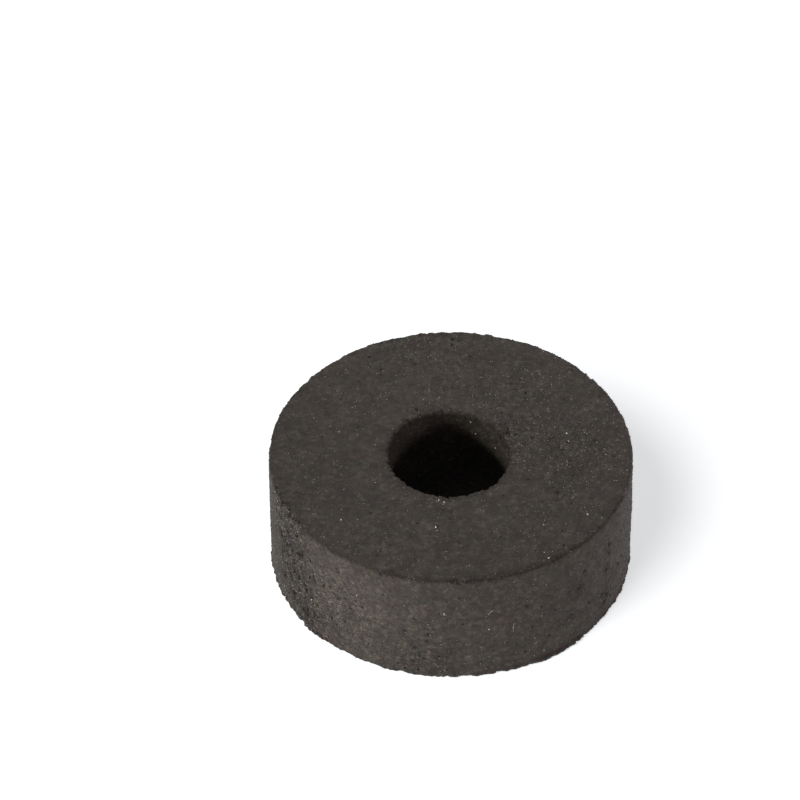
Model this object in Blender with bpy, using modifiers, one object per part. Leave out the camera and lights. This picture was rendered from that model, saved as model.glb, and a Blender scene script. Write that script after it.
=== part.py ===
"""Ring-shaped charcoal briquette: ground charcoal pressed in a round die, with one air hole through it.

Run it with blender --background --python part.py, or from Blender's text editor.
Units are metres and +Z is up. The ring lies on its lower face, and the origin is the centre of that face.
"""

import math

import bpy

# Driving dimensions of the ring
OUTER_DIAMETER = 0.080
THICKNESS = 0.0294
HOLE_DIAMETER = 0.0272

# Roundings that handling leaves where the faces meet the walls
OUTER_RIM_RADIUS = 0.00045
HOLE_RIM_RADIUS = 0.0005
RIM_ARC_SEGMENTS = 3

# The faces stay flat, and the walls whole, from this far inside a rim
WEAR_MARGIN = 0.0024
WALL_DIVISIONS = 2
TURN_STEPS = 168

# Crumbled rims: grains are missing down to this depth, in bites of about this length
CRUMBLE_DEPTH = 0.0004
CRUMBLE_LENGTH = 0.0026
CRUMBLE_CONTRAST = 2.0
CRUMBLE_SHARE = 0.65

# Slow unevenness of the pressed walls, from side to side and over about this length
UNEVEN_DEPTH = 0.0004
UNEVEN_LENGTH = 0.011

# Round chips broken out of the outer rims: bearing round the ring in degrees, which rim, depth of the bite
RIM_CHIPS = {
    "front_right_chip": (-43.0, "upper", 0.00055),
    "front_chip": (-57.0, "upper", 0.00050),
    "right_chip": (-24.0, "upper", 0.00060),
    "front_left_chip": (-113.0, "upper", 0.00045),
    "left_chip": (-130.5, "upper", 0.00050),
    "left_foot_chip": (-152.0, "lower", 0.00045),
    "back_right_chip": (38.0, "upper", 0.00070),
    "back_right_foot_chip": (61.0, "lower", 0.00065),
    "back_chip": (97.0, "upper", 0.00055),
    "back_left_chip": (143.0, "upper", 0.00075),
    "back_left_foot_chip": (128.0, "lower", 0.00055),
}
CHIP_RADIUS = 0.0016

CHARCOAL_COLOUR = (0.052, 0.047, 0.043, 1.0)
CHARCOAL_ROUGHNESS = 0.85
MERGE_DISTANCE = 0.00001


def clear_scene():
    for thing in list(bpy.data.objects):
        bpy.data.objects.remove(thing, do_unlink=True)


def new_collection(name):
    collection = bpy.data.collections.new(name)
    bpy.context.scene.collection.children.link(collection)
    return collection


def charcoal_material():
    material = bpy.data.materials.new("charcoal")
    material.use_nodes = True
    shader = material.node_tree.nodes["Principled BSDF"]
    shader.inputs["Base Color"].default_value = CHARCOAL_COLOUR
    shader.inputs["Roughness"].default_value = CHARCOAL_ROUGHNESS
    shader.inputs["Metallic"].default_value = 0.0
    return material


def rim_arc(centre_radius, centre_height, radius, start_degrees):
    """Quarter circle of profile points, turning clockwise from start_degrees."""
    points = []
    for step in range(RIM_ARC_SEGMENTS + 1):
        angle = math.radians(start_degrees - 90 * step / RIM_ARC_SEGMENTS)
        points.append((centre_radius + radius * math.cos(angle), centre_height + radius * math.sin(angle)))
    return points


def wall_points(radius, start_height, end_height):
    """Profile points on a wall, from one edge of its whole stretch to the other."""
    span = end_height - start_height
    return [(radius, start_height + span * step / WALL_DIVISIONS) for step in range(WALL_DIVISIONS + 1)]


def ring_profile():
    """Closed section of the ring as (radius, height, zone), down the outer side and up the hole.

    The zone says what may wear: rim, wall or flat."""
    outer = OUTER_DIAMETER / 2
    hole = HOLE_DIAMETER / 2
    inner_flat = hole + WEAR_MARGIN
    outer_flat = outer - WEAR_MARGIN
    high = THICKNESS - WEAR_MARGIN
    low = WEAR_MARGIN
    outer_centre = outer - OUTER_RIM_RADIUS
    hole_centre = hole + HOLE_RIM_RADIUS
    stretches = [
        ("flat", [(inner_flat, THICKNESS), (outer_flat, THICKNESS)]),
        ("rim", rim_arc(outer_centre, THICKNESS - OUTER_RIM_RADIUS, OUTER_RIM_RADIUS, 90)),
        ("wall", wall_points(outer, high, low)),
        ("rim", rim_arc(outer_centre, OUTER_RIM_RADIUS, OUTER_RIM_RADIUS, 0)),
        ("flat", [(outer_flat, 0.0), (inner_flat, 0.0)]),
        ("rim", rim_arc(hole_centre, HOLE_RIM_RADIUS, HOLE_RIM_RADIUS, -90)),
        ("wall", wall_points(hole, low, high)),
        ("rim", rim_arc(hole_centre, THICKNESS - HOLE_RIM_RADIUS, HOLE_RIM_RADIUS, 180)),
    ]
    return [(radius, height, zone) for zone, points in stretches for radius, height in points]


def add_displacement(ring, name, group, size, strength, mid_level):
    """Moves the points of one zone along their normals by a cloud pattern, and returns the pattern."""
    pattern = bpy.data.textures.new(name, "CLOUDS")
    pattern.noise_scale = size
    pattern.noise_depth = 2
    pattern.use_clamp = True
    modifier = ring.modifiers.new(name, "DISPLACE")
    modifier.texture = pattern
    modifier.texture_coords = "LOCAL"
    modifier.direction = "NORMAL"
    modifier.vertex_group = group
    modifier.strength = strength
    modifier.mid_level = mid_level
    return pattern


def turn_ring(collection):
    """Turns the section into the ring, then wears its rims and walls."""
    profile = ring_profile()
    mesh = bpy.data.meshes.new("briquette")
    corners = [(radius, 0.0, height) for radius, height, zone in profile]
    edges = [(index, (index + 1) % len(corners)) for index in range(len(corners))]
    mesh.from_pydata(corners, edges, [])
    mesh.materials.append(charcoal_material())
    ring = bpy.data.objects.new("briquette", mesh)
    collection.objects.link(ring)
    for zone in ("rim", "wall"):
        group = ring.vertex_groups.new(name=zone)
        group.add([index for index, point in enumerate(profile) if point[2] == zone], 1.0, "REPLACE")

    turn = ring.modifiers.new("turn", "SCREW")
    turn.axis = "Z"
    turn.angle = math.tau
    turn.steps = TURN_STEPS
    turn.render_steps = TURN_STEPS
    turn.use_merge_vertices = True
    turn.merge_threshold = MERGE_DISTANCE
    turn.use_smooth_shade = True

    bites = add_displacement(ring, "crumbled_rims", "rim", CRUMBLE_LENGTH, -CRUMBLE_DEPTH, 0.0)
    bites.contrast = CRUMBLE_CONTRAST
    bites.intensity = CRUMBLE_SHARE
    add_displacement(ring, "uneven_walls", "wall", UNEVEN_LENGTH, UNEVEN_DEPTH, 0.5)
    return ring


def chip_cutter(name, bearing, rim, bite, collection):
    """A ball that reaches the given depth past an outer rim, along the bisector of its face and wall."""
    bpy.ops.mesh.primitive_ico_sphere_add(subdivisions=2, radius=CHIP_RADIUS)
    cutter = bpy.context.object
    cutter.name = name
    for home in list(cutter.users_collection):
        home.objects.unlink(cutter)
    collection.objects.link(cutter)
    clearance = (CHIP_RADIUS - bite) / math.sqrt(2)
    radius = OUTER_DIAMETER / 2 + clearance
    height = THICKNESS + clearance if rim == "upper" else -clearance
    angle = math.radians(bearing)
    cutter.location = (radius * math.cos(angle), radius * math.sin(angle), height)
    cutter.rotation_euler = (angle, angle, 0.0)
    cutter.hide_render = True
    cutter.display_type = "WIRE"


def chip_rims(ring, collection):
    for name, (bearing, rim, bite) in RIM_CHIPS.items():
        chip_cutter(name, bearing, rim, bite, collection)
    cut = ring.modifiers.new("rim_chips", "BOOLEAN")
    cut.operation = "DIFFERENCE"
    cut.solver = "EXACT"
    cut.operand_type = "COLLECTION"
    cut.collection = collection


def main():
    clear_scene()
    ring = turn_ring(new_collection("charcoal_briquette"))
    chip_rims(ring, new_collection("cutters"))


main()
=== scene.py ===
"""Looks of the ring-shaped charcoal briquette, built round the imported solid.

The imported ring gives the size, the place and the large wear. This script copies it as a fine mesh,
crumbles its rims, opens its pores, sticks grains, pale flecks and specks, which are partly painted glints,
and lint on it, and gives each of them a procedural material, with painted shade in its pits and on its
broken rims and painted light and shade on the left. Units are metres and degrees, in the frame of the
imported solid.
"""

import itertools
import math

import bmesh
import bpy
import numpy as np
from mathutils import Matrix, Vector
from mathutils.bvhtree import BVHTree


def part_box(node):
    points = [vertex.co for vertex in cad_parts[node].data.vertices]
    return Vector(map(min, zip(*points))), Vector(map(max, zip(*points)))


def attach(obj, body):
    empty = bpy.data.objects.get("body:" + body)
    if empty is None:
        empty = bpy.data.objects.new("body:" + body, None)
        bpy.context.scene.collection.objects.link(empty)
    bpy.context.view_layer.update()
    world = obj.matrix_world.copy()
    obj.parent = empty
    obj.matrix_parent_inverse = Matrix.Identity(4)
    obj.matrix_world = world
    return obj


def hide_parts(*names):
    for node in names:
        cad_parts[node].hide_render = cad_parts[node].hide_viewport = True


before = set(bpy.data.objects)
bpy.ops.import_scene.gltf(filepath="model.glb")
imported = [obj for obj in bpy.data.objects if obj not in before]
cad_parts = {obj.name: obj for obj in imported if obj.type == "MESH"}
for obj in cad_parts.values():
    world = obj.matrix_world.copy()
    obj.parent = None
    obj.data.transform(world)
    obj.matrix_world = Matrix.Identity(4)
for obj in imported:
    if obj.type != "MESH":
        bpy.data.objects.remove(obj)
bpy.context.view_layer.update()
ring_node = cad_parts["briquette"]
ring_low, ring_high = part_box("briquette")

# The ring's nominal section, which wear and marks are measured from
BASE = ring_low.z
TOP = ring_high.z
UPPER_FACE = round(TOP - BASE, 4)
OUTER_RADIUS = 0.040
HOLE_RADIUS = 0.0136
MIDDLE_RADIUS = (OUTER_RADIUS + HOLE_RADIUS) / 2

# How far the hole stands off the ring's axis, and the two radii between which the skin stops following it
HOLE_SHIFT = (-0.00038, -0.00010, 0.0)
HOLE_SHIFT_RADII = (0.0145, 0.0200)

# Camera fitted to the front ring's outline in the 800 x 800 photograph
PHOTO_PIXELS = 800
FOCAL_PIXELS = 4500.0
SENSOR_WIDTH = 36.0
CAMERA_ELEVATION = 42.95
CAMERA_ROLL = -0.455
CAMERA_DISTANCE = 1.0070
ORIGIN_PIXEL = (450.66, 548.00)

# Soft studio lights: bearing, elevation, distance, width, height, watts, colour, and what they light
WHITE = (1.0, 1.0, 1.0)
WARM_WHITE = (1.0, 0.965, 0.93)
ROSE_WHITE = (1.0, 0.81, 0.86)
LIGHTS = {
    "left_key": (-165.0, 20.5, 1.2, 0.50, 0.16, 12.2, WARM_WHITE, "ring"),
    "low_front_left": (-118.0, 3.0, 1.2, 0.70, 0.08, 11.0, WHITE, "ring"),
    "soft_front": (-85.0, 13.0, 1.2, 0.40, 0.30, 1.5, WHITE, "ring"),
    "right_fill": (-12.0, 20.0, 1.2, 0.50, 0.16, 5.1, ROSE_WHITE, "ring"),
    "low_right_edge": (46.0, 2.0, 1.2, 0.50, 0.08, 8.1, ROSE_WHITE, "ring"),
    "overhead": (-90.0, 84.0, 1.2, 0.55, 0.55, 1.0, WHITE, "ring"),
    "back_light": (90.0, 45.0, 1.2, 0.55, 0.55, 12.1, WHITE, "ring"),
    "table_light": (-135.0, 48.0, 3.0, 1.8, 1.8, 62.0, WHITE, "table"),
}
WORLD_STRENGTH = 0.12
FLOOR_GLOW = 0.62
FLOOR_SIZE = 40.0
FLOOR_SHADE_WIDTH = 0.004

# Colours of the charcoal, the flecks, the pale specks, the lint and the table; flecks and specks are partly
# painted glints
BROWN_BLACK = (0.0344, 0.0276, 0.0245, 1.0)
OLIVE_BLACK = (0.0332, 0.0297, 0.0236, 1.0)
WARM_FLECK = (0.60, 0.56, 0.50, 1.0)
COOL_FLECK = (0.55, 0.56, 0.55, 1.0)
PALE_SPECK_AND_GLINT = (0.65, 0.625, 0.58, 1.0)
PALE_LINT = (0.44, 0.41, 0.37, 1.0)
DIRTY_LINT = (0.22, 0.21, 0.19, 1.0)
TABLE_WHITE = (0.90, 0.915, 0.94, 1.0)
TABLE_GLOW = (0.97, 0.985, 1.0, 1.0)

# Fine body mesh
FINE_VOXEL = 0.00022
BODY_TRIANGLES = 196000

# Grains of the pressed charcoal: fine ones in its material, and coarse ones in its shape too
FINE_GRAIN = 0.00042
COARSE_GRAIN = 0.00085

# How far apart loose grains and flecks change their shade
LOOSE_GRAIN = 0.00045
LOOSE_FLECK = 0.0006

# How deep each kind of wear goes into the skin, or how high it stands out
RIM_CRUMBLING = 0.00018
RIM_GRAIN_LOSS = 0.00014
HOLE_RIM_BITE = 0.00032
PIT_DEPTH = 0.00030
TOOTH = 0.00004
LONG_WAVE = 0.00006
SHORT_WAVE = 0.00003

# Rough, porous band on the left of the wall: bearing at mid height, half width in degrees, lean in degrees
ROUGH_BAND = (-149.0, 12.0, -10.0)

# Coarser stretches of skin: bearing, height and distance from the axis of the middle, radius, and strength
COARSE_PATCHES = {
    "left_wall": (-131.0, 0.013, OUTER_RADIUS, 0.0110, 0.50),
    "foot_of_the_front": (-100.0, 0.005, OUTER_RADIUS, 0.0080, 0.30),
    "upper_face_right": (-2.0, UPPER_FACE, 0.0270, 0.0120, 0.36),
    "hole_rim_right": (24.0, UPPER_FACE, 0.0150, 0.0065, 0.62),
    "hole_rim_front": (-99.0, UPPER_FACE, 0.0150, 0.0018, 0.80),
}

# Burr on the outer lower rim: its share everywhere, where it is heavier, and its size
BURR_SHARE = 0.45
HEAVY_BURRS = {
    "front_right": (-55.0, 11.0, 1.0),
    "left": (-140.0, 6.0, 0.7),
    "back": (75.0, 15.0, 0.9),
}
BURR_HEIGHT = 0.0004
BURR_REACH = 0.00075

# How far the stretches of bearings fade out on each side of their ends, in degrees
STRETCH_FADE = 4.0

# Where the outer upper rim is broken open and dark, partly with painted shade in its broken face: middle
# and half width in degrees, and strength
DARK_RIM = {
    "front": (-79.5, 36.0, 1.0),
    "right": (-25.0, 7.0, 0.75),
    "left_notch": (-131.0, 3.0, 0.8),
    "left": (-160.0, 6.0, 0.5),
    "back_right": (35.0, 12.0, 0.8),
    "back": (96.0, 22.0, 1.0),
    "back_left": (160.0, 14.0, 0.7),
}

# How broken the rest of that rim, the outer lower rim and the hole's two rims are
UPPER_RIM_SHARE = 0.22
LOWER_RIM_SHARE = 0.60
HOLE_RIM_SHARE = 0.35

# The darkest single pits, sunk and darkened with painted shade: bearing, height and distance from the axis
# of each
DARK_PITS = (
    (-33.0, 0.0145, OUTER_RADIUS),
    (-33.5, 0.0049, OUTER_RADIUS),
    (-32.4, 0.0067, OUTER_RADIUS),
    (-34.9, 0.0079, OUTER_RADIUS),
    (-21.6, 0.0118, OUTER_RADIUS),
    (-24.2, 0.0110, OUTER_RADIUS),
    (-31.4, 0.0188, OUTER_RADIUS),
    (-31.7, 0.0217, OUTER_RADIUS),
    (-44.3, 0.0205, OUTER_RADIUS),
    (-46.8, 0.0165, OUTER_RADIUS),
    (-50.0, 0.0097, OUTER_RADIUS),
    (-66.6, 0.0188, OUTER_RADIUS),
    (-102.3, 0.0044, OUTER_RADIUS),
    (-101.9, 0.0085, OUTER_RADIUS),
    (-105.1, 0.0133, OUTER_RADIUS),
    (-97.5, 0.0131, OUTER_RADIUS),
    (11.4, UPPER_FACE, 0.0228),
    (6.2, UPPER_FACE, 0.0319),
    (-32.1, UPPER_FACE, 0.0307),
    (-33.7, UPPER_FACE, 0.0272),
    (-90.7, UPPER_FACE, 0.0185),
    (-23.1, UPPER_FACE, 0.0257),
    (1.5, UPPER_FACE, 0.0246),
)
DARK_PIT_RADIUS = 0.00042

# How deep they are, and how dark with painted shade, on the wall and on the upper face
WALL_PIT = 1.0
FACE_PIT = 0.6

# Loose material scattered over the skin: how many, their least and greatest size, how far they stand out as
# a share of it, the sides and rings of one lump, and the seed of the random draws
SCATTERED = {
    "surface_grains": (22000, (0.00016, 0.00036), 0.0, (4, 2), 101),
    "rim_crumbs": (5600, (0.00018, 0.00046), -0.06, (5, 4), 111),
    # The bright flecks are pale chips, partly painted glints
    "bright_flecks": (9000, (0.00010, 0.00024), 0.10, (3, 2), 121),
}

# Less of it sticks in the hole and under the ring
IN_THE_HOLE = 0.55
UNDER_THE_RING = 0.25

# The pale specks that stand out, partly painted glints: bearing, height and distance from the axis of each
PALE_SPECKS_AND_GLINTS = {
    "by_the_front_rim": (-58.9, UPPER_FACE, 0.0371),
    "beside_it": (-58.3, UPPER_FACE, 0.0388),
    "right_of_the_hole": (7.8, UPPER_FACE, 0.0261),
    "behind_it": (12.7, UPPER_FACE, 0.0264),
    "far_right": (-33.7, UPPER_FACE, 0.0352),
    "front_of_the_hole": (-95.0, UPPER_FACE, 0.0153),
    "front_of_the_hole_left": (-99.1, UPPER_FACE, 0.0150),
    "in_the_hole_back": (64.2, 0.0236, HOLE_RADIUS),
    "in_the_hole_right": (40.1, 0.0226, HOLE_RADIUS),
    "in_the_hole_far_right": (4.8, 0.0243, HOLE_RADIUS),
    "in_the_hole_high": (68.6, 0.0270, HOLE_RADIUS),
    "upper_face_far_left": (-138.9, UPPER_FACE, 0.0317),
    "upper_face_left": (-150.8, UPPER_FACE, 0.0192),
    "upper_face_front": (-98.7, UPPER_FACE, 0.0235),
    "upper_face_front_right": (-48.6, UPPER_FACE, 0.0300),
    "wall_left": (-140.2, 0.0099, OUTER_RADIUS),
    "wall_middle": (-92.6, 0.0198, OUTER_RADIUS),
    "wall_front_low": (-78.9, 0.0141, OUTER_RADIUS),
    "wall_left_high": (-121.2, 0.0200, OUTER_RADIUS),
}
SPECK_AND_GLINT_SIZES = (0.00032, 0.00044)
SPECK_AND_GLINT_RISE = 0.15
SPECK_AND_GLINT_LUMP = (4, 2)
SPECK_AND_GLINT_SEED = 132

# Pale lint on the wall: bearing, height, length and tilt of each fibre
LINT = {
    "long_fibre": (-78.4, 0.0193, 0.0017, 47.0),
    "upright_fibre": (-71.0, 0.0134, 0.0024, 84.0),
    "short_fibre": (-63.3, 0.0063, 0.0008, 30.0),
    "crossing_fibre": (-92.6, 0.0195, 0.0009, 12.0),
}
LINT_THICKNESS = 0.00006
LINT_STEPS = 8
LINT_BEND = 0.35

# How far off the wall the search for the skin under each fibre starts
LINT_SEARCH = 0.004

# Brightness of the skin: smudges, marks and patches, with painted light and shade on the left of the ring:
# bearing, height and distance from the axis of the middle, radius, and gain, which is below 0 where it is
# darker
TONES = {
    # Paler tone and painted light where the light falls on the left of the wall
    "pale_and_lit_left_wall": (-125.0, 0.0195, OUTER_RADIUS, 0.0130, 0.36),
    # Painted shade on the far left of the wall
    "shaded_far_left_wall": (-163.0, 0.0145, OUTER_RADIUS, 0.0130, -0.28),
    "right_smudge": (-47.5, 0.0166, OUTER_RADIUS, 0.0026, -0.42),
    "right_foot_smudge": (-34.0, 0.0058, OUTER_RADIUS, 0.0028, -0.38),
    "right_marks_high": (-31.8, 0.0200, OUTER_RADIUS, 0.0013, -0.55),
    "right_marks_low": (-32.4, 0.0155, OUTER_RADIUS, 0.0011, -0.50),
    "low_streak_right": (-50.0, 0.0086, OUTER_RADIUS, 0.0019, -0.20),
    "low_streak_middle": (-54.5, 0.0078, OUTER_RADIUS, 0.0019, -0.20),
    "low_streak_left": (-59.0, 0.0070, OUTER_RADIUS, 0.0019, -0.20),
    "left_streak_high": (-151.7, 0.0230, OUTER_RADIUS, 0.0012, -0.45),
    "left_streak_low": (-151.5, 0.0203, OUTER_RADIUS, 0.0012, -0.45),
    "left_scratch_high": (-148.5, 0.0216, OUTER_RADIUS, 0.0010, -0.40),
    "left_scratch_low": (-144.0, 0.0215, OUTER_RADIUS, 0.0012, -0.40),
    "left_foot_smudge": (-142.5, 0.0040, OUTER_RADIUS, 0.0035, -0.30),
    "left_middle_smudge": (-150.0, 0.0120, OUTER_RADIUS, 0.0030, -0.25),
    "front_foot_smudge": (-97.0, 0.0045, OUTER_RADIUS, 0.0040, -0.14),
    "upper_face_mark": (-31.0, UPPER_FACE, 0.0305, 0.0014, -0.25),
    # Painted shade on the left of the upper face
    "upper_face_left": (-125.0, UPPER_FACE, 0.0330, 0.0090, -0.08),
    "back_smudge": (70.0, 0.0170, OUTER_RADIUS, 0.0060, -0.30),
    "back_left_smudge": (150.0, 0.0090, OUTER_RADIUS, 0.0050, -0.30),
    "back_pale_patch": (110.0, 0.0150, OUTER_RADIUS, 0.0100, 0.14),
    "lower_face_smudge": (40.0, 0.0, 0.0280, 0.0080, -0.25),
}


def link(thing):
    """Puts an object in the scene."""
    bpy.context.scene.collection.objects.link(thing)
    return thing


def smooth_step(low, high, value):
    """0 at low, 1 at high and smooth between them, also where low is the greater one."""
    share = np.clip((value - low) / (high - low), 0.0, 1.0)
    return share * share * (3.0 - 2.0 * share)


def scrambled_slots(key, order):
    """A repeatable number from 0 to 255 for each cell of a grid."""
    return order[(key[:, 0] + order[(key[:, 1] + order[key[:, 2] % 256]) % 256]) % 256]


def clouds(points, size, seed):
    """Gradient noise from about -1 to 1, with lumps of the given size."""
    draw = np.random.default_rng(seed)
    order = draw.permutation(256)
    slopes = draw.normal(size=(256, 3))
    slopes /= np.linalg.norm(slopes, axis=1)[:, None]
    place = points / size
    cell = np.floor(place).astype(int)
    offset = place - cell
    fade = offset**3 * (offset * (offset * 6.0 - 15.0) + 10.0)
    total = np.zeros(len(points))
    for corner in itertools.product((0, 1), repeat=3):
        corner = np.array(corner)
        slope = slopes[scrambled_slots(cell + corner, order)]
        weight = np.prod(np.where(corner == 1, fade, 1.0 - fade), axis=1)
        total += weight * np.einsum("ij,ij->i", slope, offset - corner)
    return total * 1.6


def layered_clouds(points, size, seed, layers=3):
    """Clouds with finer ones on them, each layer half as large and half as strong as the one before."""
    return sum(clouds(points, size / 2**layer, seed + layer) / 2**layer for layer in range(layers))


def grain_cells(points, size, seed):
    """Distance to the nearest grain centre, over size, and a random number of that grain from 0 to 1."""
    draw = np.random.default_rng(seed)
    order = draw.permutation(256)
    jitter = draw.random((256, 3))
    place = points / size
    cell = np.floor(place).astype(int)
    nearest = np.full(len(points), 9.0)
    owner = np.zeros(len(points))
    for step in itertools.product((-1, 0, 1), repeat=3):
        key = cell + np.array(step)
        slot = scrambled_slots(key, order)
        gap = np.linalg.norm(key + jitter[slot] - place, axis=1)
        closer = gap < nearest
        nearest = np.where(closer, gap, nearest)
        owner = np.where(closer, slot / 255.0, owner)
    return nearest, owner


def ring_place(bearing, height, radius=OUTER_RADIUS):
    """The point at a bearing round the ring, a height above its lower face and a distance from its axis."""
    angle = math.radians(bearing)
    return Vector((radius * math.cos(angle), radius * math.sin(angle), BASE + height))


def bearings(points):
    """Bearing of each point round the ring, in degrees."""
    return np.degrees(np.arctan2(points[:, 1], points[:, 0]))


def axis_distance(points):
    """Distance of each point from the ring's axis."""
    return np.hypot(points[:, 0], points[:, 1])


def section_distance_to_rims(points):
    """Distance in the ring's section to the nearest of its four nominal rims."""
    radius = axis_distance(points)
    gaps = [np.hypot(radius - rim_radius, points[:, 2] - rim_height)
            for rim_radius in (OUTER_RADIUS, HOLE_RADIUS) for rim_height in (BASE, TOP)]
    return np.min(gaps, axis=0)


def depth_below_skin(points):
    """How far each point lies inside the ring's nominal surface."""
    radius = axis_distance(points)
    height = points[:, 2]
    return np.min([OUTER_RADIUS - radius, radius - HOLE_RADIUS, height - BASE, TOP - height], axis=0)


def on_wall(points):
    """1 on the outer wall, falling to 0 about a millimetre inside it."""
    radius = axis_distance(points)
    return smooth_step(OUTER_RADIUS - 0.0012, OUTER_RADIUS - 0.0005, radius)


def patch(points, bearing, height, distance, radius):
    """1 in the middle of a patch, falling to 0 around its edge."""
    gap = np.linalg.norm(points - np.array(ring_place(bearing, height, distance)), axis=1)
    return np.exp(-((gap / radius) ** 2))


def rough_band(points):
    """The rough, porous band on the left of the wall, from 0 to 1."""
    middle, half_width, lean = ROUGH_BAND
    leaning = middle + lean * ((points[:, 2] - BASE) / (TOP - BASE) - 0.5)
    across = (bearings(points) - leaning) / half_width
    return np.exp(-(across**4)) * on_wall(points)


def coarseness(points):
    """How coarse the skin is: 1 in the rough band, less in the patches, and in clouds round the back."""
    share = rough_band(points)
    for bearing, height, distance, radius, strength in COARSE_PATCHES.values():
        share = np.maximum(share, strength * patch(points, bearing, height, distance, radius))
    round_back = smooth_step(0.0, 0.020, points[:, 1]) * (0.25 + 0.30 * on_wall(points))
    return np.maximum(share, round_back * smooth_step(-0.2, 0.7, clouds(points, size=0.018, seed=51)))


def stretch(points, middle, half_width):
    """1 along a stretch of bearings, falling to 0 round its ends."""
    off = (bearings(points) - middle + 180.0) % 360.0 - 180.0
    return smooth_step(half_width + STRETCH_FADE, half_width - STRETCH_FADE, np.abs(off))


def strongest_stretch(points, stretches, least):
    """The strongest of several stretches at each point's bearing, and nowhere below the least share."""
    share = np.full(len(points), least)
    for middle, half_width, strength in stretches.values():
        share = np.maximum(share, strength * stretch(points, middle, half_width))
    return share


def rim_darkness(points):
    """How broken and how dark the rims are, the darkness partly painted shade: in stretches on the outer
    upper rim, and evenly on the other three.
    """
    share = strongest_stretch(points, DARK_RIM, UPPER_RIM_SHARE)
    outer = axis_distance(points) > MIDDLE_RADIUS
    upper = points[:, 2] > (BASE + TOP) / 2
    return np.where(outer & upper, share, np.where(outer, LOWER_RIM_SHARE, HOLE_RIM_SHARE))


def tone(points):
    """Brightness of the skin from place to place, about 1, with painted light and shade on the left of the
    ring.
    """
    gain = np.ones(len(points))
    ragged = smooth_step(-0.7, 0.5, layered_clouds(points, size=0.0016, seed=71, layers=2))
    for bearing, height, distance, radius, strength in TONES.values():
        share = strength * patch(points, bearing, height, distance, radius)
        gain *= 1.0 + (share if strength > 0 else share * (0.35 + ragged))
    return gain


def mesh_arrays(mesh):
    """Places and normals of a mesh's vertices."""
    points = np.empty(len(mesh.vertices) * 3)
    mesh.vertices.foreach_get("co", points)
    normals = np.empty(len(mesh.vertices) * 3)
    mesh.vertices.foreach_get("normal", normals)
    return points.reshape(-1, 3), normals.reshape(-1, 3)


def set_points(mesh, points):
    """Moves a mesh's vertices to new places."""
    mesh.vertices.foreach_set("co", points.ravel())
    mesh.update()


def triangle_count(thing):
    return sum(len(face.vertices) - 2 for face in thing.data.polygons)


def applied(thing):
    """Replaces an object's mesh by what its modifiers make of it."""
    graph = bpy.context.evaluated_depsgraph_get()
    made = bpy.data.meshes.new_from_object(thing.evaluated_get(graph))
    thing.modifiers.clear()
    thing.data = made
    return thing


def voxel_copy():
    """A fine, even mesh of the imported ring, which leaves the ring itself as it is."""
    body = link(bpy.data.objects.new("pressed_body", ring_node.data.copy()))
    body.data.materials.clear()
    remesh = body.modifiers.new("voxels", "REMESH")
    remesh.mode = "VOXEL"
    remesh.voxel_size = FINE_VOXEL
    remesh.use_smooth_shade = True
    return applied(body)


def lower_burr(points):
    """Where the pressing left a thin ragged burr on the outer lower rim, from 0 to 1."""
    radius = axis_distance(points)
    gap = np.hypot(radius - OUTER_RADIUS, points[:, 2] - BASE - BURR_HEIGHT)
    heavy = strongest_stretch(points, HEAVY_BURRS, 0.0)
    lumps = layered_clouds(points, size=0.0013, seed=81, layers=2)
    ragged = smooth_step(-0.6, 0.7, lumps + 0.5 * heavy)
    return smooth_step(0.0011, 0.0003, gap) * np.maximum(BURR_SHARE, heavy) * ragged


def open_pits(points):
    """Pits, from 0 to 1: ragged ones where the skin is coarse, scattered round ones, and the darkest."""
    coarse = coarseness(points)
    gap, owner = grain_cells(points, size=0.0010, seed=31)
    round_share = 0.006 + (0.12 + 0.04 * on_wall(points)) * coarse
    round_pits = (owner < round_share) * smooth_step(0.46, 0.12, gap)
    ragged = layered_clouds(points * (1.0, 1.0, 0.8), size=0.0014, seed=61, layers=2)
    ragged_pits = smooth_step(0.62, 0.95, ragged + 0.45 * coarse) * smooth_step(0.15, 0.5, coarse)
    pits = np.maximum(round_pits, ragged_pits)
    for bearing, height, distance in DARK_PITS:
        strength = WALL_PIT if distance == OUTER_RADIUS else FACE_PIT
        pits = np.maximum(pits, strength * patch(points, bearing, height, distance, DARK_PIT_RADIUS))
    return pits


def hole_rim_bites(points):
    """How far grains have broken out of the hole's upper rim: from -0.8 where it stands whole to 0.2."""
    gap = np.hypot(axis_distance(points) - HOLE_RADIUS, points[:, 2] - TOP)
    broken = smooth_step(-0.1, 0.5, layered_clouds(points, size=0.0012, seed=25, layers=2))
    return smooth_step(0.0013, 0.0005, gap) * (broken - 0.8)


def wear_body(body):
    """Takes grains off the rims, opens pits and gives the pressed skin its fine unevenness."""
    points, normals = mesh_arrays(body.data)
    coarse = coarseness(points)
    near_rim = smooth_step(0.0010, 0.0002, section_distance_to_rims(points))
    rims = near_rim * (0.45 + 0.55 * rim_darkness(points))
    grain, grain_number = grain_cells(points, size=COARSE_GRAIN, seed=11)
    bites = smooth_step(-0.15, 0.55, layered_clouds(points, size=0.0017, seed=21))
    rim_loss = rims * (RIM_CRUMBLING * bites + RIM_GRAIN_LOSS * grain * grain_number)
    rim_loss += HOLE_RIM_BITE * hole_rim_bites(points)
    pit_loss = PIT_DEPTH * open_pits(points)
    tooth = TOOTH * (grain - 0.5) * (1.0 + 2.0 * coarse)
    waves = LONG_WAVE * clouds(points, size=0.007, seed=41)
    waves += SHORT_WAVE * clouds(points, size=0.0022, seed=43)
    points -= normals * (rim_loss + pit_loss + tooth + waves)[:, None]
    outward = points * (1.0, 1.0, 0.0) / axis_distance(points)[:, None]
    points += outward * (BURR_REACH * lower_burr(points))[:, None]
    points[:, 2] = np.clip(points[:, 2], BASE, TOP)
    set_points(body.data, points)


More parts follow.
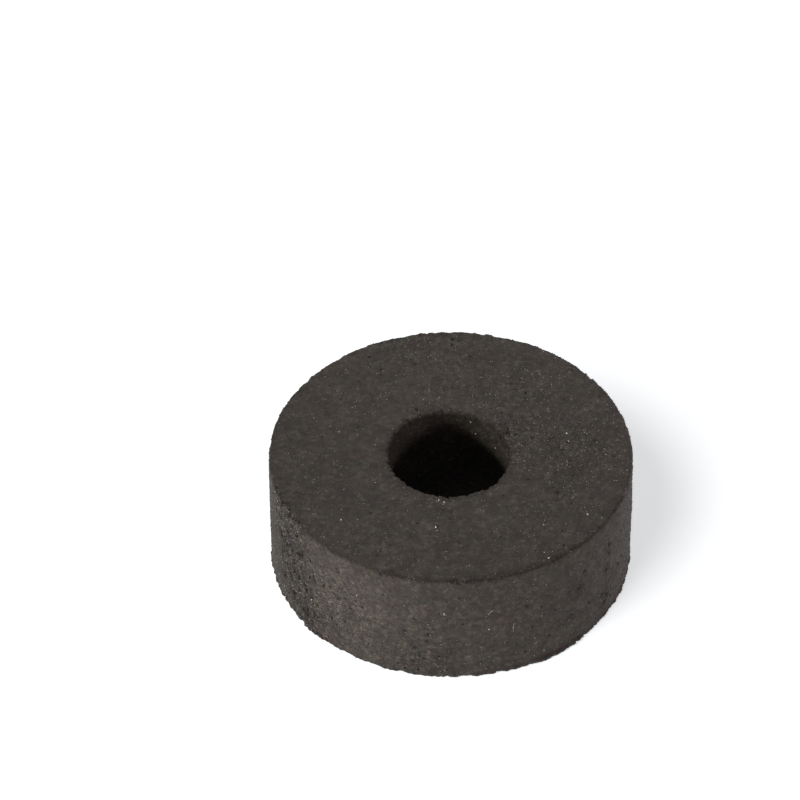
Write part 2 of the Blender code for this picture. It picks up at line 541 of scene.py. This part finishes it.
def thin_out(body):
    """Brings the body down to its number of triangles."""
    thin = body.modifiers.new("thin_out", "DECIMATE")
    thin.ratio = BODY_TRIANGLES / triangle_count(body)
    return applied(body)


def store(mesh, name, values):
    """Keeps a number for each vertex, which the material reads by its name."""
    mesh.attributes.new(name, "FLOAT", "POINT").data.foreach_set("value", values.astype(np.float32))


def mark_skin(body):
    """Stores what the material reads: how open and how dark with painted shade, how coarse and how bright
    each point of the skin is.
    """
    points, _ = mesh_arrays(body.data)
    gap = section_distance_to_rims(points)
    worn_away = smooth_step(0.00008, 0.00030, depth_below_skin(points))
    broken_rim = smooth_step(0.0014, 0.0007, gap) * worn_away
    # A soft dark band on the upper face along its rims: painted shade of the crumbled edge
    reach = 0.0007 + 0.0020 * smooth_step(-0.4, 0.6, layered_clouds(points, size=0.0032, seed=91))
    on_top = smooth_step(TOP - 0.0006, TOP - 0.0002, points[:, 2])
    painted_rim_shade = 0.42 * smooth_step(1.0, 0.45, gap / reach) * on_top
    bitten = 0.45 + 0.40 * smooth_step(0.1, 0.8, layered_clouds(points, size=0.0040, seed=93, layers=2))
    # Broken rims are darker: partly the darker broken charcoal, partly painted shade in the broken face
    dark_rim = np.maximum(bitten * broken_rim, painted_rim_shade) * rim_darkness(points)
    # The open mark darkens pits and broken rims in the material, with painted shade in them
    store(body.data, "open", np.maximum(dark_rim, open_pits(points)))
    store(body.data, "coarse", coarseness(points))
    store(body.data, "tone", tone(points))


def make_body():
    """The ring with its worn and porous skin."""
    body = voxel_copy()
    wear_body(body)
    thin_out(body)
    mark_skin(body)
    body.data.shade_smooth()
    return body


def skin_triangles(body):
    """Corner points, areas and normals of the body's triangles, which loose pieces are scattered over."""
    mesh = body.data
    mesh.calc_loop_triangles()
    corners = np.empty(len(mesh.loop_triangles) * 3, dtype=np.int32)
    mesh.loop_triangles.foreach_get("vertices", corners)
    points, _ = mesh_arrays(mesh)
    triangles = points[corners.reshape(-1, 3)]
    cross = np.cross(triangles[:, 1] - triangles[:, 0], triangles[:, 2] - triangles[:, 0])
    size = np.linalg.norm(cross, axis=1)
    return triangles, size / 2, cross / np.maximum(size, 1e-12)[:, None]


def scatter(skin, count, density, seed):
    """Random places on the skin and the normals there, with the given density of each triangle's middle."""
    triangles, areas, normals = skin
    draw = np.random.default_rng(seed)
    weight = areas * density(triangles.mean(axis=1), normals)
    chosen = draw.choice(len(areas), count, p=weight / weight.sum())
    share = draw.dirichlet((1.0, 1.0, 1.0), count)
    return np.einsum("ni,nij->nj", share, triangles[chosen]), normals[chosen]


def nearest_skin(skin, marks):
    """Middles and normals of the triangles nearest to marks given by bearing, height and distance."""
    triangles, _, normals = skin
    middles = triangles.mean(axis=1)
    wanted = [np.array(ring_place(*mark)) for mark in marks]
    nearest = [np.argmin(np.linalg.norm(middles - mark, axis=1)) for mark in wanted]
    return middles[nearest], normals[nearest]


def unit_lump(segments, rings):
    """Corners and triangles of a coarse round lump of radius 1."""
    shape = bmesh.new()
    bmesh.ops.create_uvsphere(shape, u_segments=segments, v_segments=rings, radius=1.0)
    bmesh.ops.triangulate(shape, faces=shape.faces)
    shape.verts.index_update()
    corners = np.array([vertex.co for vertex in shape.verts])
    faces = np.array([[vertex.index for vertex in face.verts] for face in shape.faces])
    shape.free()
    return corners, faces


def random_turns(count, draw):
    """Rotation matrices, evenly spread over all turns."""
    spin = draw.normal(size=(count, 4))
    spin /= np.linalg.norm(spin, axis=1)[:, None]
    w, x, y, z = spin.T
    rows = [
        [1 - 2 * (y * y + z * z), 2 * (x * y - z * w), 2 * (x * z + y * w)],
        [2 * (x * y + z * w), 1 - 2 * (x * x + z * z), 2 * (y * z - x * w)],
        [2 * (x * z - y * w), 2 * (y * z + x * w), 1 - 2 * (x * x + y * y)],
    ]
    return np.array(rows).transpose(2, 0, 1)


def chips(name, places, normals, sizes, rise, lump, seed):
    """One mesh of many angular chips, each turned and stretched at random and partly sunk in the skin."""
    draw = np.random.default_rng(seed)
    corners, faces = lump
    count = len(places)
    length = draw.uniform(sizes[0], sizes[1], count)
    shapes = corners[None] * draw.uniform(0.65, 1.15, (count, len(corners), 1))
    shapes = shapes * draw.uniform(0.6, 1.25, (count, 1, 3))
    shapes = np.einsum("nij,nvj->nvi", random_turns(count, draw), shapes) * (length / 2)[:, None, None]
    shapes += (places + normals * (rise * length)[:, None])[:, None, :]
    shapes[:, :, 2] = np.clip(shapes[:, :, 2], BASE, None)
    mesh = bpy.data.meshes.new(name)
    all_faces = faces[None] + (np.arange(count) * len(corners))[:, None, None]
    mesh.from_pydata(shapes.reshape(-1, 3).tolist(), [], all_faces.reshape(-1, 3).tolist())
    return link(bpy.data.objects.new(name, mesh))


def upward_or_outward(points, normals):
    """Less loose material under the ring and deep in its hole than on its outer sides."""
    radius = axis_distance(points)
    outside = np.where(radius > HOLE_RADIUS + 0.0006, 1.0, IN_THE_HOLE)
    return np.where(normals[:, 2] < -0.7, UNDER_THE_RING, outside)


def grain_density(points, normals):
    """Loose grains are commonest where the skin is coarse, and rarest on the smooth wall."""
    share = 0.8 - 0.35 * on_wall(points) + 2.0 * coarseness(points)
    return upward_or_outward(points, normals) * share


def crumb_density(points, normals):
    """Crumbs stick along the broken rims, most of all at the hole, and where the skin is coarse."""
    by_the_hole = axis_distance(points) < HOLE_RADIUS + 0.002
    share = np.where(by_the_hole, 1.6, 0.35 + 0.65 * rim_darkness(points))
    at_rim = share * smooth_step(0.0014, 0.0003, section_distance_to_rims(points))
    return upward_or_outward(points, normals) * (0.02 + at_rim + 0.30 * coarseness(points))


def fleck_density(points, normals):
    """Bright flecks are commonest where the skin is coarse, and there are fewer of them on the wall."""
    coarse = coarseness(points)
    calmer = 1.0 - 0.6 * on_wall(points)
    return upward_or_outward(points, normals) * calmer * (0.30 + 3.0 * coarse * (1.0 - 0.4 * coarse))


DENSITIES = {
    "surface_grains": grain_density,
    "rim_crumbs": crumb_density,
    "bright_flecks": fleck_density,
}


def shift_hole(piece):
    """Moves the hole and the skin around it a little off the axis."""
    points, _ = mesh_arrays(piece.data)
    near, far = HOLE_SHIFT_RADII
    share = smooth_step(far, near, axis_distance(points))
    points += share[:, None] * np.array(HOLE_SHIFT)
    set_points(piece.data, points)


def make_loose_material(body):
    """Grains, crumbs and flecks scattered over the skin, and pale specks at their own places; flecks and
    specks are partly painted glints.
    """
    skin = skin_triangles(body)
    loose = []
    for name, (count, sizes, rise, lump, seed) in SCATTERED.items():
        places, normals = scatter(skin, count, DENSITIES[name], seed)
        loose.append(chips(name, places, normals, sizes, rise, unit_lump(*lump), seed + 1))
    places, normals = nearest_skin(skin, PALE_SPECKS_AND_GLINTS.values())
    loose.append(chips("pale_specks_and_glints", places, normals, SPECK_AND_GLINT_SIZES, SPECK_AND_GLINT_RISE, unit_lump(*SPECK_AND_GLINT_LUMP), SPECK_AND_GLINT_SEED))
    return loose


def make_lint(body):
    """Pale fibres that follow the wall, each a thin tube with a slight bend."""
    tree = BVHTree.FromObject(body, bpy.context.evaluated_depsgraph_get())
    strands = bpy.data.curves.new("lint_fibres", "CURVE")
    strands.dimensions = "3D"
    strands.bevel_depth = LINT_THICKNESS / 2
    strands.bevel_resolution = 1
    strands.use_fill_caps = True
    for bearing, height, length, tilt in LINT.values():
        angle = math.radians(bearing)
        slope = math.radians(tilt)
        outward = ring_place(bearing, 0.0, 1.0).normalized()
        centre = ring_place(bearing, height)
        sideways = Vector((-math.sin(angle), math.cos(angle), 0.0))
        along = sideways * math.cos(slope) + Vector((0.0, 0.0, math.sin(slope)))
        across = along.cross(outward)
        strand = strands.splines.new("POLY")
        strand.points.add(LINT_STEPS)
        for step, point in enumerate(strand.points):
            share = step / LINT_STEPS - 0.5
            bend = length * LINT_BEND * (share * share - 0.1)
            start = centre + along * (share * length) + across * bend
            start += outward * LINT_SEARCH
            hit = tree.ray_cast(start, -outward)[0]
            point.co = (*(hit + outward * LINT_THICKNESS * 0.4), 1.0)
    fibres = link(bpy.data.objects.new("lint_fibres", strands))
    graph = bpy.context.evaluated_depsgraph_get()
    mesh = bpy.data.meshes.new_from_object(fibres.evaluated_get(graph))
    bpy.data.objects.remove(fibres, do_unlink=True)
    return link(bpy.data.objects.new("lint_fibres", mesh))


class Wiring:
    """Short ways to add and join the shader nodes of one material."""

    def __init__(self, name):
        self.material = bpy.data.materials.new(name)
        self.material.use_nodes = True
        self.tree = self.material.node_tree
        self.shader = self.tree.nodes["Principled BSDF"]
        self.place = self.node("ShaderNodeTexCoord").outputs["Object"]

    def node(self, kind):
        return self.tree.nodes.new(kind)

    def set(self, socket, value):
        """Joins a node's output to a socket, or gives the socket a constant."""
        if isinstance(value, bpy.types.NodeSocket):
            self.tree.links.new(value, socket)
        else:
            socket.default_value = value

    def surface(self, socket, value):
        """Does the same for a socket of the material's own shader, which is given by its name."""
        self.set(self.shader.inputs[socket], value)

    def math(self, operation, *values):
        node = self.node("ShaderNodeMath")
        node.operation = operation
        for socket, value in zip(node.inputs, values):
            self.set(socket, value)
        return node.outputs[0]

    def product(self, *values):
        total = values[0]
        for value in values[1:]:
            total = self.math("MULTIPLY", total, value)
        return total

    def remap(self, value, low, high, new_low, new_high):
        node = self.node("ShaderNodeMapRange")
        node.interpolation_type = "SMOOTHSTEP"
        for socket, entry in zip(node.inputs, (value, low, high, new_low, new_high)):
            self.set(socket, entry)
        return node.outputs[0]

    def noise(self, size, detail=2.0, shift=0.0):
        node = self.node("ShaderNodeTexNoise")
        node.inputs["Scale"].default_value = 1.0 / size
        node.inputs["Detail"].default_value = detail
        moved = self.node("ShaderNodeVectorMath")
        moved.operation = "ADD"
        self.set(moved.inputs[0], self.place)
        moved.inputs[1].default_value = (shift, shift * 0.7, -shift)
        self.set(node.inputs["Vector"], moved.outputs[0])
        return node.outputs["Fac"]

    def cells(self, size):
        """Distance to the nearest grain centre and two random numbers of that grain."""
        node = self.node("ShaderNodeTexVoronoi")
        node.inputs["Scale"].default_value = 1.0 / size
        self.set(node.inputs["Vector"], self.place)
        parts = self.node("ShaderNodeSeparateColor")
        self.set(parts.inputs["Color"], node.outputs["Color"])
        return node.outputs["Distance"], parts.outputs["Red"], parts.outputs["Green"]

    def attribute(self, name):
        node = self.node("ShaderNodeAttribute")
        node.attribute_name = name
        return node.outputs["Fac"]

    def mix_colour(self, share, first, second):
        """A mix of two colours: the node takes them at its inputs 6 and 7 and gives it at its output 2."""
        node = self.node("ShaderNodeMix")
        node.data_type = "RGBA"
        self.set(node.inputs[0], share)
        self.set(node.inputs[6], first)
        self.set(node.inputs[7], second)
        return node.outputs[2]

    def scaled(self, colour, level):
        node = self.node("ShaderNodeVectorMath")
        node.operation = "SCALE"
        self.set(node.inputs[0], colour)
        self.set(node.inputs["Scale"], level)
        return node.outputs[0]

    def speckled(self, random_number, contrast):
        """A level about 1 for each grain: most are a little darker, and a few stand out pale."""
        share = self.math("SUBTRACT", self.math("POWER", random_number, 3.0), 0.25)
        return self.math("MULTIPLY_ADD", share, contrast, 1.0)


def charcoal_material():
    """Pressed charcoal: near-black, brown and olive by turns, with grains, faint smudges, and pits and
    pores darkened with painted shade.
    """
    wiring = Wiring("pressed_charcoal")
    wiring.surface("Specular IOR Level", 0.10)

    coarse = wiring.attribute("coarse")
    by_turns = wiring.remap(wiring.noise(0.0024, 2.0), 0.38, 0.62, 0.0, 1.0)
    tint = wiring.mix_colour(by_turns, BROWN_BLACK, OLIVE_BLACK)

    fine_gap, fine_random, _ = wiring.cells(FINE_GRAIN)
    coarse_gap, coarse_random, coarse_other = wiring.cells(COARSE_GRAIN)
    fine_level = wiring.speckled(fine_random, wiring.math("MULTIPLY_ADD", coarse, 1.1, 0.42))
    coarse_level = wiring.speckled(coarse_random, wiring.math("MULTIPLY_ADD", coarse, 0.5, 0.48))
    small_mottle = wiring.remap(wiring.noise(0.0014, 2.0, 0.8), 0.32, 0.68, 0.86, 1.14)
    large_mottle = wiring.remap(wiring.noise(0.0045, 3.0, 0.3), 0.3, 0.7, 0.88, 1.12)
    mottle = wiring.product(small_mottle, large_mottle)
    # Pores, pits and broken rims are darkened, with painted shade in them, and sunk in the bump below
    pore_share = wiring.math("MULTIPLY_ADD", coarse, 0.07, 0.010)
    is_pore = wiring.math("LESS_THAN", coarse_other, pore_share)
    pore = wiring.product(is_pore, wiring.remap(coarse_gap, 0.20, 0.42, 1.0, 0.0))
    openness = wiring.math("MAXIMUM", pore, wiring.attribute("open"))
    pit_shade_level = wiring.math("MULTIPLY_ADD", openness, -0.80, 1.0)
    level = wiring.product(fine_level, coarse_level, mottle, pit_shade_level, wiring.attribute("tone"))
    wiring.surface("Base Color", wiring.scaled(tint, level))

    wiring.surface("Roughness", wiring.math("MULTIPLY_ADD", fine_random, 0.30, 0.52))

    bump = wiring.node("ShaderNodeBump")
    bump.inputs["Strength"].default_value = 1.0
    bump.inputs["Distance"].default_value = 0.00010
    height = wiring.math("MULTIPLY_ADD", fine_gap, -0.9, wiring.math("MULTIPLY", coarse_gap, -0.5))
    height = wiring.math("MULTIPLY", height, wiring.math("MULTIPLY_ADD", coarse, 0.9, 0.7))
    height = wiring.math("ADD", height, wiring.noise(0.00025, 2.0, 0.6))
    height = wiring.math("MULTIPLY_ADD", openness, -1.2, height)
    wiring.set(bump.inputs["Height"], height)
    wiring.surface("Normal", bump.outputs["Normal"])
    return wiring.material


def grain_material():
    """Loose grains: the same charcoal, each grain a shade of its own."""
    wiring = Wiring("charcoal_grains")
    wiring.surface("Specular IOR Level", 0.20)
    _, random_number, other = wiring.cells(LOOSE_GRAIN)
    tint = wiring.mix_colour(other, BROWN_BLACK, OLIVE_BLACK)
    wiring.surface("Base Color", wiring.scaled(tint, wiring.speckled(random_number, 1.25)))
    wiring.surface("Roughness", wiring.math("MULTIPLY_ADD", other, 0.35, 0.40))
    return wiring.material


def fleck_material():
    """Pale, slightly shiny flecks from dull grey to pale: partly pale grains, partly painted glints."""
    wiring = Wiring("pale_flecks")
    wiring.surface("Specular IOR Level", 0.6)
    _, random_number, other = wiring.cells(LOOSE_FLECK)
    pale = wiring.math("POWER", random_number, 2.2)
    level = wiring.math("MULTIPLY_ADD", pale, 0.95, 0.10)
    tint = wiring.mix_colour(other, WARM_FLECK, COOL_FLECK)
    wiring.surface("Base Color", wiring.scaled(tint, level))
    wiring.surface("Roughness", 0.35)
    return wiring.material


def speck_and_glint_material():
    """Pale specks, partly painted glints."""
    wiring = Wiring("pale_speck_and_glint")
    wiring.surface("Base Color", PALE_SPECK_AND_GLINT)
    wiring.surface("Roughness", 0.6)
    return wiring.material


def lint_material():
    """Lint, soiled with charcoal dust in places."""
    wiring = Wiring("pale_lint")
    tint = wiring.mix_colour(wiring.noise(0.0005), PALE_LINT, DIRTY_LINT)
    wiring.surface("Base Color", tint)
    wiring.surface("Roughness", 0.8)
    return wiring.material


def make_floor():
    """White table that glows a little, as if lit from all round, except under the ring and in its hole."""
    bpy.ops.mesh.primitive_plane_add(size=FLOOR_SIZE, location=(0, 0, BASE))
    floor = bpy.context.object
    floor.name = "floor"
    wiring = Wiring("white_table")
    wiring.surface("Base Color", TABLE_WHITE)
    wiring.surface("Roughness", 0.7)
    wiring.surface("Emission Color", TABLE_GLOW)
    from_axis = wiring.node("ShaderNodeVectorMath")
    from_axis.operation = "LENGTH"
    wiring.set(from_axis.inputs[0], wiring.place)
    shade_edge = OUTER_RADIUS - FLOOR_SHADE_WIDTH
    glow = wiring.remap(from_axis.outputs["Value"], shade_edge, OUTER_RADIUS, 0.0, FLOOR_GLOW)
    wiring.surface("Emission Strength", glow)
    floor.data.materials.append(wiring.material)
    return floor


def make_lights(lit):
    """Soft lights, each with the pieces that it shines on."""
    world = bpy.data.worlds.new("studio")
    world.use_nodes = True
    background = world.node_tree.nodes["Background"]
    background.inputs["Color"].default_value = (*WHITE, 1.0)
    background.inputs["Strength"].default_value = WORLD_STRENGTH
    bpy.context.scene.world = world
    receivers = {}
    for target, pieces in lit.items():
        receivers[target] = bpy.data.collections.new("lights_of_the_" + target)
        for piece in pieces:
            receivers[target].objects.link(piece)
    for name, (bearing, elevation, distance, width, height, power, colour, target) in LIGHTS.items():
        light = bpy.data.lights.new(name, "AREA")
        light.shape = "ELLIPSE"
        light.size = width
        light.size_y = height
        light.energy = power
        light.color = colour
        lamp = link(bpy.data.objects.new(name, light))
        flat = math.cos(math.radians(elevation)) * distance
        lamp.location = ring_place(bearing, math.sin(math.radians(elevation)) * distance, flat)
        lamp.rotation_euler = (-lamp.location).to_track_quat("-Z", "Y").to_euler()
        lamp.light_linking.receiver_collection = receivers[target]


def make_camera():
    """The photograph's camera, which looks from the front and has the ring's origin at its pixel there."""
    elevation = math.radians(CAMERA_ELEVATION)
    roll = math.radians(CAMERA_ROLL)
    forward = Vector((0.0, math.cos(elevation), -math.sin(elevation)))
    level_up = Vector((0.0, math.sin(elevation), math.cos(elevation)))
    level_right = Vector((1.0, 0.0, 0.0))
    right = level_right * math.cos(roll) + level_up * math.sin(roll)
    up = level_up * math.cos(roll) - level_right * math.sin(roll)
    half = PHOTO_PIXELS / 2
    across = (ORIGIN_PIXEL[0] - half) / FOCAL_PIXELS * CAMERA_DISTANCE
    above = (half - ORIGIN_PIXEL[1]) / FOCAL_PIXELS * CAMERA_DISTANCE
    camera = bpy.data.cameras.new("photo_camera")
    camera.sensor_width = SENSOR_WIDTH
    camera.lens = FOCAL_PIXELS * SENSOR_WIDTH / PHOTO_PIXELS
    camera.clip_end = 50.0
    viewer = link(bpy.data.objects.new("photo_camera", camera))
    axes = Matrix((right, up, -forward)).transposed().to_4x4()
    place = -(right * across + up * above + forward * CAMERA_DISTANCE)
    viewer.matrix_world = Matrix.Translation(place) @ axes
    bpy.context.scene.camera = viewer


def set_colours():
    """Plain colours, without the softer contrast that Blender starts with."""
    bpy.context.scene.view_settings.view_transform = "Standard"


def dress(piece, material):
    """Gives a piece its material and the body that it moves with."""
    piece.data.materials.append(material)
    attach(piece, "root")


make_camera()
set_colours()
floor = make_floor()

body = make_body()
loose = make_loose_material(body)
lint = make_lint(body)
for piece in (body, *loose):
    shift_hole(piece)

grains, crumbs, flecks, specks = loose
loose_charcoal = grain_material()
dress(body, charcoal_material())
dress(grains, loose_charcoal)
dress(crumbs, loose_charcoal)
dress(flecks, fleck_material())
dress(specks, speck_and_glint_material())
dress(lint, lint_material())
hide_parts("briquette")
make_lights({"ring": (body, *loose, lint), "table": (floor,)})
